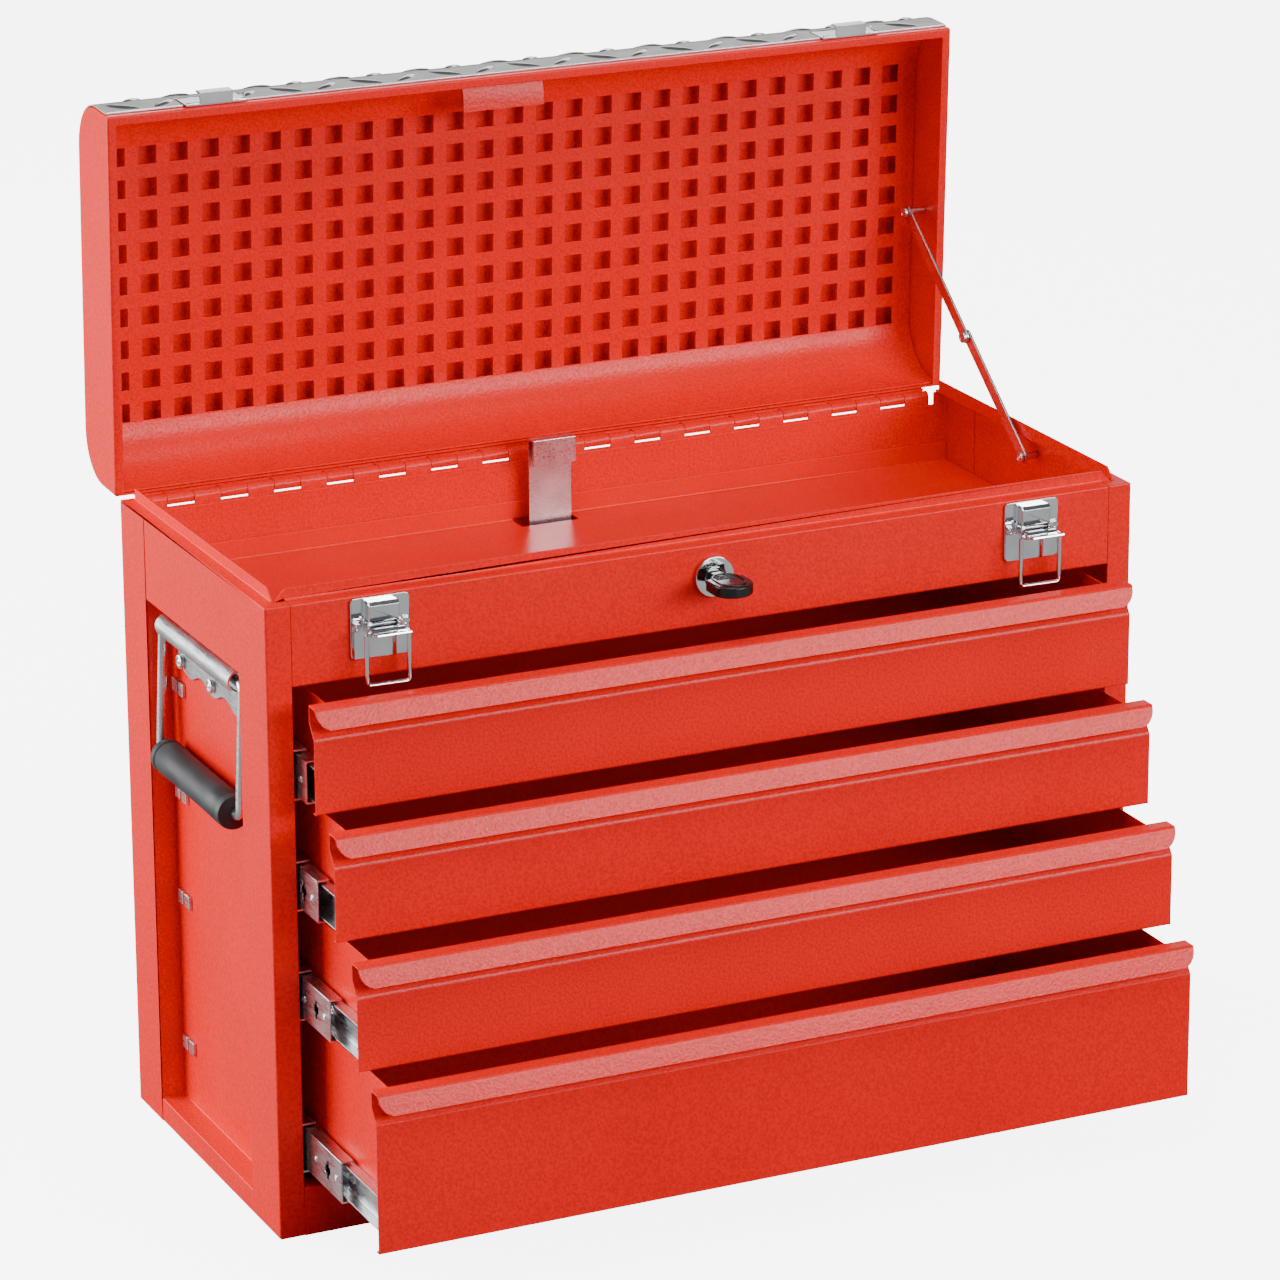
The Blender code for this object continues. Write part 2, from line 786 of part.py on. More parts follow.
def hinge_leaf(up):
    """One leaf of the piano hinge; up is 1 for the lid's leaf and -1 for the body's."""
    edge = HY + GAP
    foot = PIN_Z + up * LEAF_HEIGHT
    curl = arc((PIN_Y, PIN_Z), KNUCKLE_RADIUS, 180, 180 + up * 270, 9)
    profile = sheet([(edge, foot)] + curl, -up * KNUCKLE_SHEET)
    leaf = prism(profile, "x", -HINGE_HALF, HINGE_HALF)
    first = 1 if up < 0 else 0
    notches = []
    for k in range(first, KNUCKLES, 2):
        low = -HINGE_HALF + k * KNUCKLE_LENGTH - GAP / 2
        high = low + KNUCKLE_LENGTH + GAP
        reach = PIN_Z + up * (KNUCKLE_RADIUS + GAP)
        z = sorted((reach, PIN_Z - up * (KNUCKLE_RADIUS + 1)))
        notches.append(box((low, high), (HY - 1, PIN_Y + 2 * KNUCKLE_RADIUS), z))
    return carve(leaf, group(notches))


def hinge(pivot):
    node(hinge_leaf(-1), "hinge_body_leaf", "powder_coated_steel", None, True)
    node(hinge_leaf(1), "hinge_lid_leaf", "powder_coated_steel", pivot, True)
    pin = disc((PIN_Y, PIN_Z), "x", PIN_RADIUS, -HINGE_HALF, HINGE_HALF, 8)
    node(pin, "hinge_pin", "zinc_plated_steel", None, True)


# ---- lid stay


def stay_points():
    """Body pin, lid pin with the lid closed, lid pin with it open, and the elbow in both."""
    body = Vector((PIN_Y - STAY_BODY[0], HEIGHT + STAY_BODY[1]))
    lid = Vector((PIN_Y - STAY_LID[0], HEIGHT + STAY_LID[1]))
    pin = Vector((PIN_Y, PIN_Z))
    turn = math.radians(LID_OPEN)
    arm = lid - pin
    lid_open = pin + Vector(
        (
            arm[0] * math.cos(turn) + arm[1] * math.sin(turn),
            arm[1] * math.cos(turn) - arm[0] * math.sin(turn),
        )
    )
    reach = (lid_open - body).length
    upper = reach - STAY_LOWER
    elbow_open = body + (lid_open - body) * STAY_LOWER / reach
    span = (lid - body).length
    along = (STAY_LOWER**2 - upper**2 + span**2) / (2 * span)
    off = math.sqrt(STAY_LOWER**2 - along**2)
    way = (lid - body) / span
    elbow = body + way * along + Vector((way[1], -way[0])) * off
    return body, lid, lid_open, elbow_open, elbow


def strip(start, end, x):
    """A flat link from start to end with round ends, and the stud at its start out to the wall."""
    way = end - start
    angle = math.degrees(math.atan2(way[1], way[0]))
    half = STAY_WIDTH / 2
    outline = arc(start, half, angle + 90, angle + 270, 6) + arc(end, half, angle - 90, angle + 90, 6)
    link = prism(outline, "x", x - STAY_SHEET, x)
    return fuse(link, disc(start, "x", 2.5, x - STAY_SHEET - 1.5, HX - SHEET - GAP, 12))


def lid_stay(lid_pivot):
    """Two folding links on the right side. The joint at the elbow is the one left open."""
    body, lid, lid_open, elbow_open, elbow = stay_points()
    plane = HX - STAY_INSET
    lower_pivot = pivot_at("stay_lower_pivot", (plane, body[0], body[1]))
    node(strip(body, elbow, plane), "stay_lower_link", "zinc_plated_steel", lower_pivot)
    upper_pivot = pivot_at("stay_upper_pivot", (plane, lid[0], lid[1]), lid_pivot)
    beside = plane - STAY_SHEET - GAP
    head = disc(elbow, "x", 3.0, beside - STAY_SHEET - 1, beside - STAY_SHEET / 2, 12)
    link = fuse(strip(lid, elbow, beside), head)
    node(link, "stay_upper_link", "zinc_plated_steel", upper_pivot)

    def angle(a, b):
        return math.atan2(b[1] - a[1], b[0] - a[0])

    lower_turn = angle(body, elbow_open) - angle(body, elbow)
    upper_turn = angle(lid_open, elbow_open) - angle(lid, elbow) + math.radians(LID_OPEN)
    lower_pivot.rotation_euler.x = lower_turn
    upper_pivot.rotation_euler.x = (upper_turn + math.pi) % (2 * math.pi) - math.pi


# ---- latches


def latch(side):
    """Plate, toggle lever and wire bail of one latch, drawn as it is when it is shut."""
    name = side_name(side)
    centre = side * LATCH_X
    top = HEIGHT - LATCH_TOP
    face = -HY - GAP
    front = face - LATCH_SHEET
    pivot_y = -HY - LEVER_PIVOT[0]
    pivot_z = HEIGHT - LEVER_PIVOT[1]
    half = LATCH_PLATE / 2
    corner = 3.0
    outline = []
    for cx, cz, start in ((1, 1, 0), (-1, 1, 90), (-1, -1, 180), (1, -1, 270)):
        middle = (centre + cx * (half - corner), top - half + cz * (half - corner))
        outline += arc(middle, corner, start, start + 90, 3)
    plate = prism(outline, "y", front, face)
    width, out = LATCH_BOX
    block = prism(
        [
            (front + 0.5, top - 2),
            (front - out + 2, top - 2),
            (front - out, top - 4),
            (front - out, pivot_z + 3.4),
            (front + 0.5, pivot_z + 3.4),
        ],
        "x",
        centre - width / 2,
        centre + width / 2,
    )
    cheeks = [
        box(
            sorted((centre + end * (BARREL_HALF + GAP), centre + end * (BARREL_HALF + 2.7))),
            (front - out, front + 0.5),
            (pivot_z - 2.6, pivot_z + 4),
        )
        for end in (-1, 1)
    ]
    spread, radius = LATCH_RIVET
    rivets = [
        disc((centre + end * spread, pivot_z), "y", radius, front - 1.3, front + 0.5, 14)
        for end in (-1, 1)
    ]
    fuse(plate, block, *cheeks, *rivets)
    node(plate, name + "_latch_plate", "chromed_steel", None, True)

    lever_pivot = pivot_at(name + "_lever_pivot", (centre, pivot_y, pivot_z))
    bail_z = pivot_z - LEVER_REACH
    barrel_x = (centre - BARREL_HALF, centre + BARREL_HALF)
    curl_x = (centre - CURL_HALF, centre + CURL_HALF)
    barrel = disc((pivot_y, pivot_z), "x", 2.4, *barrel_x, 12)
    neck = box(barrel_x, (pivot_y - 1.6, pivot_y - 0.4), (bail_z, pivot_z))
    curl = disc((pivot_y, bail_z), "x", 2.2, *curl_x, 12)
    tongue = prism(
        sheet(
            [
                (pivot_y - 0.4, bail_z),
                (pivot_y - 0.4, pivot_z - LEVER_LENGTH + 5),
                (pivot_y - 3.0, pivot_z - LEVER_LENGTH),
            ],
            1.2,
        ),
        "x",
        *curl_x,
    )
    fuse(barrel, neck, curl, tongue)
    node(barrel, name + "_latch_lever", "chromed_steel", lever_pivot, True)

    bail_pivot = pivot_at(name + "_bail_pivot", (centre, pivot_y, bail_z), lever_pivot)
    tip = CURL_HALF + GAP
    route = rounded_route(
        [
            (centre - tip, pivot_y, bail_z),
            (centre - BAIL_HALF, pivot_y, bail_z),
            (centre - BAIL_HALF, pivot_y, bail_z + BAIL_LENGTH),
            (centre + BAIL_HALF, pivot_y, bail_z + BAIL_LENGTH),
            (centre + BAIL_HALF, pivot_y, bail_z),
            (centre + tip, pivot_y, bail_z),
        ],
        2.2,
        3,
    )
    node(wire(route, BAIL_WIRE), name + "_latch_bail", "chromed_steel", bail_pivot, True)
    lever_pivot.rotation_euler.x = -math.radians(LEVER_OUT)
    bail_pivot.rotation_euler.x = math.radians(LEVER_OUT) + math.pi


# ---- lock, key and locking bar


def lock():
    z = HEIGHT - LOCK_DROP
    front = -HY - 3.2
    housing = disc((0, z), "y", LOCK_BEZEL, front, -HY - GAP, 32)
    fuse(housing, disc((0, z), "y", LOCK_BODY, -HY - 1, -HY + 24, 24))
    carve(housing, disc((0, z), "y", LOCK_PLUG + GAP, front - 1, -HY + 25, 24))
    node(housing, "lock_housing", "chromed_steel", None, True)
    pivot = pivot_at("lock_pivot", (0, -HY, z))
    plug = disc((0, z), "y", LOCK_PLUG, front + 0.6, -HY + 27, 24)
    cam = box((-4, 4), (-HY + 25, -HY + 27), (z - 18, z))
    node(fuse(plug, cam), "lock_plug", "chromed_steel", pivot, True)
    width, thick, length = KEY_HEAD
    start = front + 0.6 - GAP
    shoulder = start - 9
    outline = (
        [(-4.2, start), (-4.2, shoulder), (-width / 2, shoulder - 4)]
        + arc((0, shoulder - length + width / 2), width / 2, 180, 360, 12)
        + [(width / 2, shoulder - 4), (4.2, shoulder), (4.2, start)]
    )
    key = prism(outline, "z", z - thick / 2, z + thick / 2)
    node(key, "key", "black_plastic", pivot)


def locking_bar():
    """Hooked bar behind the drawers that the closing lid presses down."""
    top = HEIGHT + BAR_TOP
    reach, fall = BAR_HOOK
    path = [
        (BAR_Y, BAR_BOTTOM),
        (BAR_Y, top),
        (BAR_Y - reach, top),
        (BAR_Y - reach, top - fall),
    ]
    pivot = pivot_at("bar_pivot", (BAR_X, BAR_Y, top))
    bar = prism(sheet(path, -1.5), "x", BAR_X - BAR_WIDTH / 2, BAR_X + BAR_WIDTH / 2)
    node(bar, "locking_bar", "zinc_plated_steel", pivot)


# ---- side handles


def side_handle(side):
    name = side_name(side)
    floor = HX - RECESS_DEPTH + GAP
    axis = (HANDLE_X, HANDLE_Z)
    half = HANDLE_HALF - 6
    curl = sheet([(floor, HANDLE_Z - 12)] + arc(axis, CURL_RADIUS, 180, -85, 14), CURL_SHEET)
    tube = prism(curl, "y", HANDLE_Y - half, HANDLE_Y + half)
    lower = HANDLE_Z - BRACKET_HEIGHT
    edge = []
    steps = 24
    for i in range(steps + 1):
        y = HANDLE_Y - half + 2 + (2 * half - 4) * i / steps
        swing = 0.5 + 0.5 * math.cos(6 * math.pi * (i / steps - 0.5))
        edge.append((y, lower + 6 - 6 * swing))
    outline = edge + [(HANDLE_Y + half - 2, HANDLE_Z - 1), (HANDLE_Y - half + 2, HANDLE_Z - 1)]
    plate = prism(outline, "x", floor, floor + CURL_SHEET)
    spread = HANDLE_HALF - RIVET_INSET
    face = floor + CURL_SHEET
    rivets = [
        disc((HANDLE_Y + y, lower + 8), "x", RIVET_RADIUS, face - CURL_SHEET / 2, face + 1.6, 14)
        for y in (-spread, 0, spread)
    ]
    bracket = fuse(plate, tube, *rivets)
    low_x = max(HANDLE_X, HX - RECESS_DEPTH + GRIP_RADIUS + 1)
    ends = [HANDLE_Y - HANDLE_HALF, HANDLE_Y + HANDLE_HALF]
    bottom = HANDLE_Z - HANDLE_FALL
    corners = [
        (HANDLE_X, HANDLE_Y, HANDLE_Z),
        (HANDLE_X, ends[1], HANDLE_Z),
        (low_x, ends[1], bottom),
        (low_x, ends[0], bottom),
        (HANDLE_X, ends[0], HANDLE_Z),
        (HANDLE_X, HANDLE_Y, HANDLE_Z),
    ]
    bail = wire(rounded_route(corners, 6.0)[:-1], HANDLE_WIRE, 10, True)
    end = HANDLE_HALF - GRIP_SHORT
    grip = disc((low_x, bottom), "y", GRIP_RADIUS, HANDLE_Y - end, HANDLE_Y + end, 24)
    bore_end = HANDLE_HALF + GRIP_SHORT
    bore = disc(
        (low_x, bottom), "y", HANDLE_WIRE + GAP, HANDLE_Y - bore_end, HANDLE_Y + bore_end, 16
    )
    carve(grip, bore)
    if side < 0:
        bracket, bail, grip = mirrored(bracket), mirrored(bail), mirrored(grip)
    pivot = pivot_at(name + "_handle_pivot", (side * HANDLE_X, HANDLE_Y, HANDLE_Z))
    node(bracket, name + "_handle_bracket", "zinc_plated_steel", None, True)
    node(bail, name + "_handle_bail", "zinc_plated_steel", pivot, True)
    node(grip, name + "_handle_grip", "rubber", pivot, True)


def build():
    clear_scene()
    for side in (-1, 1):
        side_panel(side)
    back_panel()
    base_panel()
    front_fascia()
    tray_floor()
    for index, ((bottom, top), height, out) in enumerate(
        zip(front_edges(), slide_heights(), DRAWERS_OUT), 1
    ):
        drawer_pivot = pivot_at(f"drawer_{index}_pivot", (0, -HY, bottom))
        middle_pivot = pivot_at(f"slide_{index}_pivot", (0, -HY, height))
        drawer(index, bottom, top, drawer_pivot)
        for side in (-1, 1):
            slide(index, side, height, middle_pivot, drawer_pivot)
        drawer_pivot.location.y -= out * MM
        middle_pivot.location.y -= out / 2 * MM
    lid_pivot = pivot_at("lid_pivot", (0, PIN_Y, PIN_Z))
    lid_shell(lid_pivot)
    perforated_panel(lid_pivot)
    tread_plate(lid_pivot)
    hinge(lid_pivot)
    for side in (-1, 1):
        strike(side, lid_pivot)
        latch(side)
        side_handle(side)
    lid_stay(lid_pivot)
    lid_pivot.rotation_euler.x = -math.radians(LID_OPEN)
    lock()
    locking_bar()


build()
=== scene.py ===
import json
import math

import bmesh
import bpy
import numpy as np
from mathutils import Euler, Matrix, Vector


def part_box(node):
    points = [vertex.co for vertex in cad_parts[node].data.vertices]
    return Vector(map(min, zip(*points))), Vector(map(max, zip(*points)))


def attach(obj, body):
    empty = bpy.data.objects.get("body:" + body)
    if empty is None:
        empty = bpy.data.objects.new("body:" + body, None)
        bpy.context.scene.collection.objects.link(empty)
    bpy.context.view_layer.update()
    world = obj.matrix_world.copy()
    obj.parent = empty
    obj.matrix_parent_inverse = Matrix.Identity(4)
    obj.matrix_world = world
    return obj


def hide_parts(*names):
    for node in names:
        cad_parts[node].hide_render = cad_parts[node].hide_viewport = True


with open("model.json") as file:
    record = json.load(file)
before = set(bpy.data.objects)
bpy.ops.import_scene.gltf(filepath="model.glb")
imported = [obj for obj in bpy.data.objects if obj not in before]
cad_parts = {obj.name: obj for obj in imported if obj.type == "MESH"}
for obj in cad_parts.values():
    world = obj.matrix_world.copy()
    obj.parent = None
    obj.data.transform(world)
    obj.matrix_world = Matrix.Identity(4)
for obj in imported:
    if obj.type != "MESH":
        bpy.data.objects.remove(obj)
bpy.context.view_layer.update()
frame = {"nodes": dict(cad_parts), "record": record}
mm = 0.001

bodyOf = {
    node: body
    for body, nodes in frame["record"]["behaviour"]["bodies"].items()
    for node in nodes
}


def hexColour(text):
    # a display hex colour as linear values for a shader
    values = [int(text[i : i + 2], 16) / 255 for i in (1, 3, 5)]
    return tuple(v / 12.92 if v <= 0.04045 else ((v + 0.055) / 1.055) ** 2.4 for v in values) + (1,)


def addNode(tree, kind, links=None, **values):
    # a shader node with its settings and socket values, and what feeds its sockets
    made = tree.nodes.new(kind)
    for name, value in values.items():
        if hasattr(made, name):
            setattr(made, name, value)
        else:
            made.inputs[name.replace("_", " ")].default_value = value
    for name, source in (links or {}).items():
        tree.links.new(source, made.inputs[name])
    return made


def newMaterial(name):
    # a new material with its node tree and its shader
    material = bpy.data.materials.new(name)
    material.use_nodes = True
    tree = material.node_tree
    return material, tree, tree.nodes["Principled BSDF"]


def patternScale(size):
    # noise scale for features that many millimetres across: features in one metre
    return 1000 / size


def surfacePoint(tree, scale=(1, 1, 1)):
    # object coordinates in metres, stretched for a grain that runs along one axis
    place = addNode(tree, "ShaderNodeTexCoord")
    spread = addNode(tree, "ShaderNodeMapping", {"Vector": place.outputs["Object"]})
    spread.inputs["Scale"].default_value = scale
    return spread.outputs["Vector"]


def rampOf(tree, source, stops):
    # a colour ramp from (position, colour) pairs
    ramp = addNode(tree, "ShaderNodeValToRGB", {"Fac": source})
    elements = ramp.color_ramp.elements
    while len(elements) < len(stops):
        elements.new(0.5)
    for element, (position, colour) in zip(elements, stops):
        element.position = position
        element.color = colour
    return ramp.outputs["Color"]


def grey(value):
    return (value, value, value, 1)


def powderCoat(name, tint, pit, strength):
    # powder sprayed on sheet steel and baked: a fine orange peel of pits that many millimetres
    # across, the pits a little duller and painted a little darker as shade in the hollows, and
    # faint clouds about 70 mm wide
    material, tree, shader = newMaterial(name)
    point = surfacePoint(tree)
    pits = addNode(
        tree,
        "ShaderNodeTexNoise",
        {"Vector": point},
        Scale=patternScale(pit),
        Detail=2.5,
        Roughness=0.5,
    )
    patches = addNode(
        tree, "ShaderNodeTexNoise", {"Vector": point}, Scale=patternScale(71.4), Detail=3.0
    )
    # the base red, painted darker in the pits as shade in the hollows
    deep = rampOf(
        tree,
        pits.outputs["Fac"],
        [(0.34, hexColour(tint[0])), (0.62, hexColour(tint[1]))],
    )
    tone = rampOf(tree, patches.outputs["Fac"], [(0.3, grey(0.93)), (0.7, grey(1.0))])
    mixed = addNode(
        tree, "ShaderNodeMix", {6: deep, 7: tone}, data_type="RGBA", blend_type="MULTIPLY"
    )
    mixed.inputs["Factor"].default_value = 1
    tree.links.new(mixed.outputs[2], shader.inputs["Base Color"])
    rough = rampOf(tree, pits.outputs["Fac"], [(0.3, grey(0.38)), (0.7, grey(0.28))])
    tree.links.new(rough, shader.inputs["Roughness"])
    bump = addNode(
        tree,
        "ShaderNodeBump",
        {"Height": pits.outputs["Fac"]},
        Strength=strength,
        Distance=0.0006,
    )
    tree.links.new(bump.outputs["Normal"], shader.inputs["Normal"])
    shader.inputs["Specular IOR Level"].default_value = 0.3
    return material


def platedMetal(name, tint, roughness, grain, streak, strength):
    # metal whose drawn or rolled grain, that many millimetres wide and drawn as coarse as it
    # needs to show, breaks up its reflections, with clouds about 17 mm wide in its tone
    material, tree, shader = newMaterial(name)
    along = surfacePoint(tree, streak)
    lines = addNode(
        tree, "ShaderNodeTexNoise", {"Vector": along}, Scale=patternScale(grain), Detail=3.0
    )
    cloud = addNode(
        tree,
        "ShaderNodeTexNoise",
        {"Vector": surfacePoint(tree)},
        Scale=patternScale(16.67),
        Detail=4.0,
    )
    colour = rampOf(
        tree, cloud.outputs["Fac"], [(0.3, hexColour(tint[0])), (0.7, hexColour(tint[1]))]
    )
    tree.links.new(colour, shader.inputs["Base Color"])
    low, high = roughness
    rough = rampOf(tree, lines.outputs["Fac"], [(0.3, grey(low)), (0.7, grey(high))])
    tree.links.new(rough, shader.inputs["Roughness"])
    bump = addNode(
        tree,
        "ShaderNodeBump",
        {"Height": lines.outputs["Fac"]},
        Strength=strength,
        Distance=0.0002,
    )
    tree.links.new(bump.outputs["Normal"], shader.inputs["Normal"])
    shader.inputs["Metallic"].default_value = 1
    return material


def mouldedRubber(name):
    # moulded black rubber: matt, with a fine blasted texture and paler worn clouds
    material, tree, shader = newMaterial(name)
    point = surfacePoint(tree)
    fine = addNode(
        tree, "ShaderNodeTexNoise", {"Vector": point}, Scale=patternScale(0.625), Detail=2.0
    )
    worn = addNode(
        tree, "ShaderNodeTexNoise", {"Vector": point}, Scale=patternScale(22.2), Detail=4.0
    )
    colour = rampOf(
        tree, worn.outputs["Fac"], [(0.3, hexColour("#1A1C1E")), (0.75, hexColour("#303336"))]
    )
    tree.links.new(colour, shader.inputs["Base Color"])
    rough = rampOf(tree, worn.outputs["Fac"], [(0.3, grey(0.48)), (0.7, grey(0.64))])
    tree.links.new(rough, shader.inputs["Roughness"])
    bump = addNode(
        tree, "ShaderNodeBump", {"Height": fine.outputs["Fac"]}, Strength=0.3, Distance=0.0002
    )
    tree.links.new(bump.outputs["Normal"], shader.inputs["Normal"])
    return material


def keyPlastic(name):
    # moulded black ABS: glossy, with faint handling marks about 3 mm across
    material, tree, shader = newMaterial(name)
    marks = addNode(
        tree,
        "ShaderNodeTexNoise",
        {"Vector": surfacePoint(tree)},
        Scale=patternScale(3.333),
        Detail=4.0,
    )
    colour = rampOf(
        tree, marks.outputs["Fac"], [(0.35, hexColour("#0C0C0D")), (0.7, hexColour("#1B1A1A"))]
    )
    tree.links.new(colour, shader.inputs["Base Color"])
    rough = rampOf(tree, marks.outputs["Fac"], [(0.3, grey(0.22)), (0.7, grey(0.38))])
    tree.links.new(rough, shader.inputs["Roughness"])
    bump = addNode(
        tree, "ShaderNodeBump", {"Height": marks.outputs["Fac"]}, Strength=0.15, Distance=0.0002
    )
    tree.links.new(bump.outputs["Normal"], shader.inputs["Normal"])
    return material


# textured powder coat on the sheet steel: an even red whose sheen is softly broken
redPaint = powderCoat("textured_powder_coat", ("#E80400", "#FC0700"), 1.786, 0.4)
# finer powder coat on the tray floor with a clearer sheen, its red painted a touch brighter and
# more orange than on the other sheets as painted light on the floor that faces up to the lamps
redSmooth = powderCoat("fine_powder_coat", ("#F00900", "#FC0E00"), 1.111, 0.2)
# bright zinc plate on drawn steel: cool and blurred, with streaks along its length
zinc = platedMetal("bright_zinc", ("#CDD1D4", "#ECEFF1"), (0.24, 0.38), 1.111, (1, 0.08, 1), 0.03)
# polished chrome plate: nearly a mirror, faintly hazed
chrome = platedMetal("polished_chrome", ("#DDE0E3", "#F1F3F5"), (0.04, 0.1), 2.5, (1, 1, 1), 0.03)
# rolled aluminium tread plate: dull grey between the lozenges, with streaks across the lid
tread = platedMetal(
    "rolled_tread_plate", ("#B4B5B0", "#C8C9C4"), (0.3, 0.44), 2.0, (0.1, 1, 1), 0.12
)
# the lozenges' crests and the plate's cut edge, rubbed bright, and painted near white as well to
# stand in for the highlights they catch
lozengeWearAndHighlight = platedMetal(
    "worn_lozenges_painted_highlight", ("#E2E4E4", "#FAFAFA"), (0.1, 0.2), 1.667, (1, 1, 1), 0.08
)
rubber = mouldedRubber("grip_rubber")
plastic = keyPlastic("key_plastic")
print("materials made")


def addPiece(name, mesh, material, body):
    # a new object in the scene that moves with a body and takes its finish from a slot
    piece = bpy.data.objects.new(name, mesh)
    bpy.context.scene.collection.objects.link(piece)
    piece.data.materials.append(material)
    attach(piece, body)
    return piece


def regionWidths(work):
    # mean width of the flat region that each triangle belongs to: twice its area over its outline
    region = list(range(len(work.faces)))

    def root(i):
        while region[i] != i:
            region[i] = region[region[i]]
            i = region[i]
        return i

    inner = set()
    for line in work.edges:
        if len(line.link_faces) == 2 and line.calc_face_angle(0) < math.radians(0.5):
            first, second = (root(face.index) for face in line.link_faces)
            region[first] = second
            inner.add(line.index)
    area, outline = {}, {}
    for face in work.faces:
        key = root(face.index)
        area[key] = area.get(key, 0) + face.calc_area()
        for line in face.edges:
            if line.index not in inner:
                outline[key] = outline.get(key, 0) + line.calc_length()
    return [2 * area[root(i)] / max(outline.get(root(i), 1), 1e-9) for i in range(len(region))]


def finished(node, material, bend, edge, sharp=24):
    # a copy of a CAD piece whose bends get a real radius and whose cut edges are just broken
    work = bmesh.new()
    work.from_mesh(frame["nodes"][node].data)
    bmesh.ops.remove_doubles(work, verts=work.verts, dist=1e-5)
    work.faces.index_update()
    work.edges.index_update()
    work.faces.ensure_lookup_table()
    widths = regionWidths(work)
    weight = work.edges.layers.float.new("bevel_weight_edge")
    for line in work.edges:
        if len(line.link_faces) != 2 or line.calc_face_angle(0) < math.radians(sharp):
            continue
        narrow = min(widths[face.index] for face in line.link_faces)
        line[weight] = 1 if narrow > 2.4 * mm else edge / bend
    for face in work.faces:
        face.smooth = True
    mesh = bpy.data.meshes.new(node + "_finish")
    work.to_mesh(mesh)
    work.free()
    piece = addPiece(node + "_finish", mesh, material, bodyOf[node])
    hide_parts(node)
    rounding = piece.modifiers.new("rounding", "BEVEL")
    rounding.limit_method = "WEIGHT"
    rounding.width = bend * mm
    rounding.segments = 3
    rounding.use_clamp_overlap = False
    evening = piece.modifiers.new("even_shading", "WEIGHTED_NORMAL")
    evening.weight = 100
    evening.keep_sharp = True
    return piece


def gridFaces(rows, columns, start=0, around=False):
    # quads between neighbouring rows and columns of a grid of points, numbered row by row
    across = columns if around else columns - 1
    i, k = np.meshgrid(np.arange(rows - 1), np.arange(across), indexing="ij")
    here, beside = i * columns + k, i * columns + (k + 1) % columns
    quads = np.stack([here, beside, beside + columns, here + columns], axis=-1)
    return (quads.reshape(-1, 4) + start).tolist()


def turnOutwards(mesh):
    # the same mesh with every face's normal pointing out of it
    work = bmesh.new()
    work.from_mesh(mesh)
    bmesh.ops.recalc_face_normals(work, faces=work.faces)
    work.to_mesh(mesh)
    work.free()


def lathe(name, profile, centre, axis, material, body, steps=28):
    # a turned piece from (along, radius) pairs in millimetres: point (i, k) is the centre, plus
    # along i times the axis, plus radius i times the cosine and sine directions of turn k
    axis = Vector(axis).normalized()
    side = axis.orthogonal().normalized()
    other = axis.cross(side)
    along, radius = np.array(profile).T[:, :, None, None] * mm
    turn = (np.arange(steps) * 2 * np.pi / steps)[:, None]
    ring = np.cos(turn) * np.array(side) + np.sin(turn) * np.array(other)
    points = (np.array(centre) + along * np.array(axis) + radius * ring).reshape(-1, 3)
    last = (len(profile) - 1) * steps
    ends = [list(range(steps))[::-1], list(range(last, last + steps))]
    mesh = bpy.data.meshes.new(name)
    mesh.from_pydata(points.tolist(), [], gridFaces(len(profile), steps, around=True) + ends)
    mesh.shade_smooth()
    mesh.set_sharp_from_angle(angle=math.radians(40))
    turnOutwards(mesh)
    return addPiece(name, mesh, material, body)


# a rivet head with the ring that its setting tool leaves: (along, radius) in head radiuses
rivetProfile = [
    (-0.6, 1.0),
    (0.25, 1.02),
    (0.6, 0.98),
    (0.8, 0.85),
    (0.78, 0.66),
    (0.55, 0.6),
    (0.5, 0.42),
    (0.72, 0.34),
    (0.86, 0.16),
    (0.88, 0.04),
]


def bar(name, centre, axis, half, radius, material, body):
    # a round bar with domed ends, so its radius falls to nothing over the last radius of its length
    turn = np.linspace(0, np.pi / 2, 5)
    near = np.stack([radius * (1 - np.cos(turn)) - half, radius * np.sin(turn)], axis=1)
    near[0, 1] = radius * 0.1
    far = near[::-1] * (-1, 1)
    return lathe(name, np.concatenate([near, far]), centre, axis, material, body, 12)


def rivet(name, centre, axis, radius, material, body, height=0.42):
    # the rivet profile times its radius in millimetres, and along the axis times its height too
    scaled = [(along * radius * height, out * radius) for along, out in rivetProfile]
    return lathe(name, scaled, centre, axis, material, body, 24)


# finish and bend radius of each sheet in millimetres
bigSheets = {
    "left_side_panel": (redPaint, 1.2),
    "right_side_panel": (redPaint, 1.2),
    "back_panel": (redPaint, 1.6),
    "base_panel": (redPaint, 1.6),
    "front_fascia": (redPaint, 1.4),
    "tray_floor": (redSmooth, 1.2),
    "lid_shell": (redPaint, 1.2),
}
for node, (material, bend) in bigSheets.items():
    finished(node, material, bend, 0.35)
for k in range(1, 5):
    finished(f"drawer_{k}", redPaint, 1.5, 0.3)
finished("perforated_panel", redPaint, 0.5, 0.25)
print("sheet metal made")

for node in ("hinge_body_leaf", "hinge_lid_leaf"):
    finished(node, redPaint, 0.4, 0.15, 40)
finished("hinge_pin", zinc, 0.3, 0.2, 50)

hingeSize = {
    "pinY": 126.5,
    "pinZ": 399.0,
    "open": 88,  # degrees at rest
    "bead": 0.75,
    "beadHalf": 278.5,
    "beadPlace": (-2.6, 4.7),  # from the pin, with the lid shut
}

cover = finished("tread_plate", tread, 1.0, 0.3)
cover.data.materials.append(lozengeWearAndHighlight)
# faces turned to the front with the lid open take the near-white lozenge metal: the bare cut edge,
# with a painted highlight on it
for face in cover.data.polygons:
    face.material_index = int(face.normal.y < -0.8)  # the bright cut edge along the lid's rim

